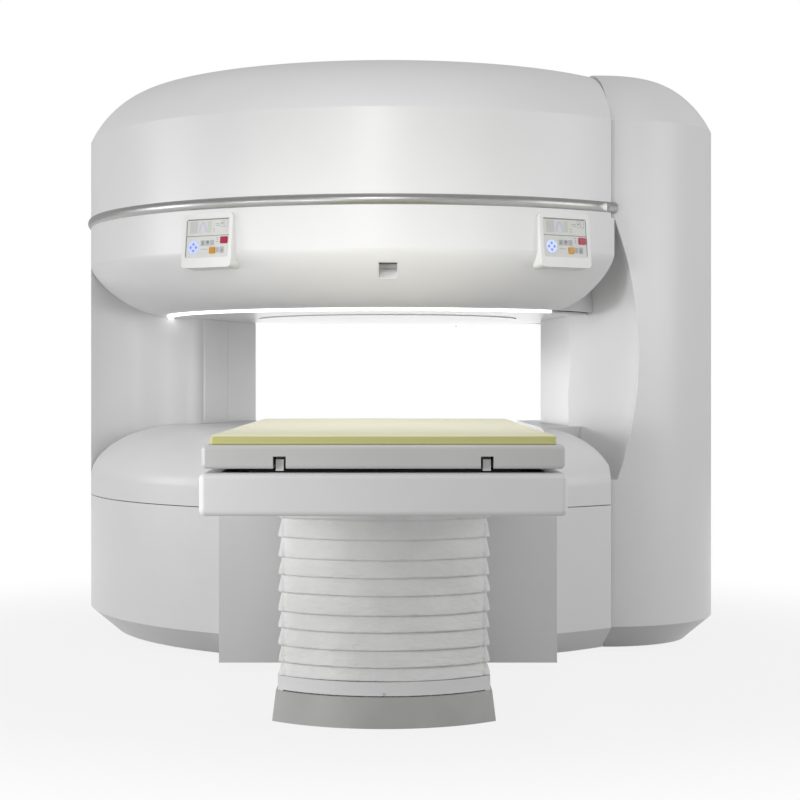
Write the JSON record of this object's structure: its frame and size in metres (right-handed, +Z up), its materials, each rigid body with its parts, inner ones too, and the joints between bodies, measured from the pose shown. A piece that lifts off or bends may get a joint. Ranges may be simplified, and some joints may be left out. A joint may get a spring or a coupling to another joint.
{
  "type": "open mri scanner",
  "caption": "Open magnet scanner: two round pole housings on two posts, control panels on the upper skirt, and a patient table that lifts, slides in and shifts sideways.",
  "frame": {"origin": "on the floor, on the axis of the magnet", "axes": "+Z up, +Y from the table towards the rear of the magnet, +X to the right seen from the front"},
  "size_m": [2.5423, 4.3072, 2.218],
  "materials": {
    "base_anchor_plate": "primed steel",
    "bellows": "coated folded cloth",
    "bellows_clamp": "satin painted moulding",
    "body_frame": "machined",
    "carriage": "dark anodised",
    "channel_glides": "low friction plastic",
    "channel_tray": "satin painted moulding",
    "cold_head": "machined",
    "cross_rails": "ground",
    "drive_axle": "ground",
    "drive_wheel": "rubber tyre",
    "floor_plate": "primed steel",
    "front_fairing": "satin painted moulding",
    "left_inner_cover": "satin painted moulding",
    "left_panel_housing": "satin painted moulding",
    "left_post_cover": "satin painted moulding",
    "left_release_key": "moulded",
    "left_shoulder_cover": "satin painted moulding",
    "left_stop_key": "moulded",
    "left_support_post": "painted iron",
    "lift_actuator": "anodised",
    "lift_columns": "extruded",
    "lift_guides": "extruded",
    "lift_rod": "ground",
    "light_port": "satin painted moulding",
    "light_port_lens": "dark window",
    "light_ring": "lit opal diffuser",
    "lower_drum_cover": "satin painted moulding",
    "lower_gradient_coil": "epoxy potted winding",
    "lower_pole_piece": "painted iron",
    "lower_rf_coil": "coil board",
    "lower_vessel": "welded stainless",
    "magnet_feet": "primed steel",
    "mattress": "coated foam pad",
    "panel_dials": "backlit lens",
    "panel_faces": "membrane keypad",
    "rear_sill_cover": "satin painted moulding",
    "right_column_cover": "satin painted moulding",
    "right_floor_cover": "satin painted moulding",
    "right_inner_cover": "satin painted moulding",
    "right_panel_housing": "satin painted moulding",
    "right_release_key": "moulded",
    "right_shoulder_cover": "satin painted moulding",
    "right_stop_key": "moulded",
    "right_support_post": "painted iron",
    "roof_cover": "satin painted moulding",
    "runner_pads": "low friction plastic",
    "skirt_cover": "satin painted moulding",
    "table_base": "grey moulded plastic",
    "table_body": "satin painted moulding",
    "table_top": "satin painted moulding",
    "travel_rails": "white plastic coated rail",
    "trim_ring": "satin anodised",
    "upper_coil_cover": "satin painted moulding",
    "upper_drum_cover": "satin painted moulding",
    "upper_gradient_coil": "epoxy potted winding",
    "upper_pole_cover": "satin painted moulding",
    "upper_pole_piece": "painted iron",
    "upper_rf_coil": "coil board",
    "upper_vessel": "welded stainless"
  },
  "bodies": {
    "root": {"base_anchor_plate": "base_anchor_plate", "bellows": "bellows", "bellows_clamp": "bellows_clamp", "channel_glides": "channel_glides", "channel_tray": "channel_tray", "cold_head": "cold_head", "floor_plate": "floor_plate", "front_fairing": "front_fairing", "left_inner_cover": "left_inner_cover", "left_panel_housing": "left_panel_housing", "left_post_cover": "left_post_cover", "left_shoulder_cover": "left_shoulder_cover", "left_support_post": "left_support_post", "lift_actuator": "lift_actuator", "lift_guides": "lift_guides", "light_port": "light_port", "light_port_lens": "light_port_lens", "light_ring": "light_ring", "lower_drum_cover": "lower_drum_cover", "lower_gradient_coil": "lower_gradient_coil", "lower_pole_piece": "lower_pole_piece", "lower_rf_coil": "lower_rf_coil", "lower_vessel": "lower_vessel", "magnet_feet": "magnet_feet", "panel_dials": "panel_dials", "panel_faces": "panel_faces", "rear_sill_cover": "rear_sill_cover", "right_column_cover": "right_column_cover", "right_floor_cover": "right_floor_cover", "right_inner_cover": "right_inner_cover", "right_panel_housing": "right_panel_housing", "right_shoulder_cover": "right_shoulder_cover", "right_support_post": "right_support_post", "roof_cover": "roof_cover", "skirt_cover": "skirt_cover", "table_base": "table_base", "trim_ring": "trim_ring", "upper_coil_cover": "upper_coil_cover", "upper_drum_cover": "upper_drum_cover", "upper_gradient_coil": "upper_gradient_coil", "upper_pole_cover": "upper_pole_cover", "upper_pole_piece": "upper_pole_piece", "upper_rf_coil": "upper_rf_coil", "upper_vessel": "upper_vessel"},
    "table_frame": {"table_body": "table_body", "body_frame": "body_frame", "cross_rails": "cross_rails", "lift_columns": "lift_columns", "lift_rod": "lift_rod"},
    "cross_carriage": {"carriage": "carriage", "travel_rails": "travel_rails", "drive_axle": "drive_axle"},
    "patient_top": {"table_top": "table_top", "runner_pads": "runner_pads", "mattress": "mattress"},
    "drive_wheel": {"drive_wheel": "drive_wheel"},
    "left_stop_key": {"left_stop_key": "left_stop_key"},
    "left_release_key": {"left_release_key": "left_release_key"},
    "right_stop_key": {"right_stop_key": "right_stop_key"},
    "right_release_key": {"right_release_key": "right_release_key"}
  },
  "joints": [
    {"name": "table_lift", "type": "slide", "parent": "root", "child": "table_frame", "axis": [0, 0, 1], "range_m": [-0.28, 0], "deforming": ["bellows"]},
    {"name": "table_shift", "type": "slide", "parent": "table_frame", "child": "cross_carriage", "axis": [1, 0, 0], "range_m": [-0.06, 0.06]},
    {"name": "table_travel", "type": "slide", "parent": "cross_carriage", "child": "patient_top", "axis": [0, 1, 0], "range_m": [0, 1.4]},
    {"name": "drive_wheel_spin", "type": "hinge", "parent": "cross_carriage", "child": "drive_wheel", "pos_m": [-0.012, -1.56, 0.7721], "axis": [1, 0, 0], "range_deg": [-2700, 0]},
    {"name": "left_stop_press", "type": "slide", "parent": "root", "child": "left_stop_key", "axis": [0.5275, 0.8442, -0.095], "range_m": [0, 0.0015], "stiffness_N_per_m": 600},
    {"name": "left_release_press", "type": "slide", "parent": "root", "child": "left_release_key", "axis": [0.5275, 0.8442, -0.095], "range_m": [0, 0.0015], "stiffness_N_per_m": 600},
    {"name": "right_stop_press", "type": "slide", "parent": "root", "child": "right_stop_key", "axis": [-0.5275, 0.8442, -0.095], "range_m": [0, 0.0015], "stiffness_N_per_m": 600},
    {"name": "right_release_press", "type": "slide", "parent": "root", "child": "right_release_key", "axis": [-0.5275, 0.8442, -0.095], "range_m": [0, 0.0015], "stiffness_N_per_m": 600}
  ],
  "couplings": [
    {"joint": "drive_wheel_spin", "follows": "table_travel", "rad_per_m": -33.333}
  ]
}
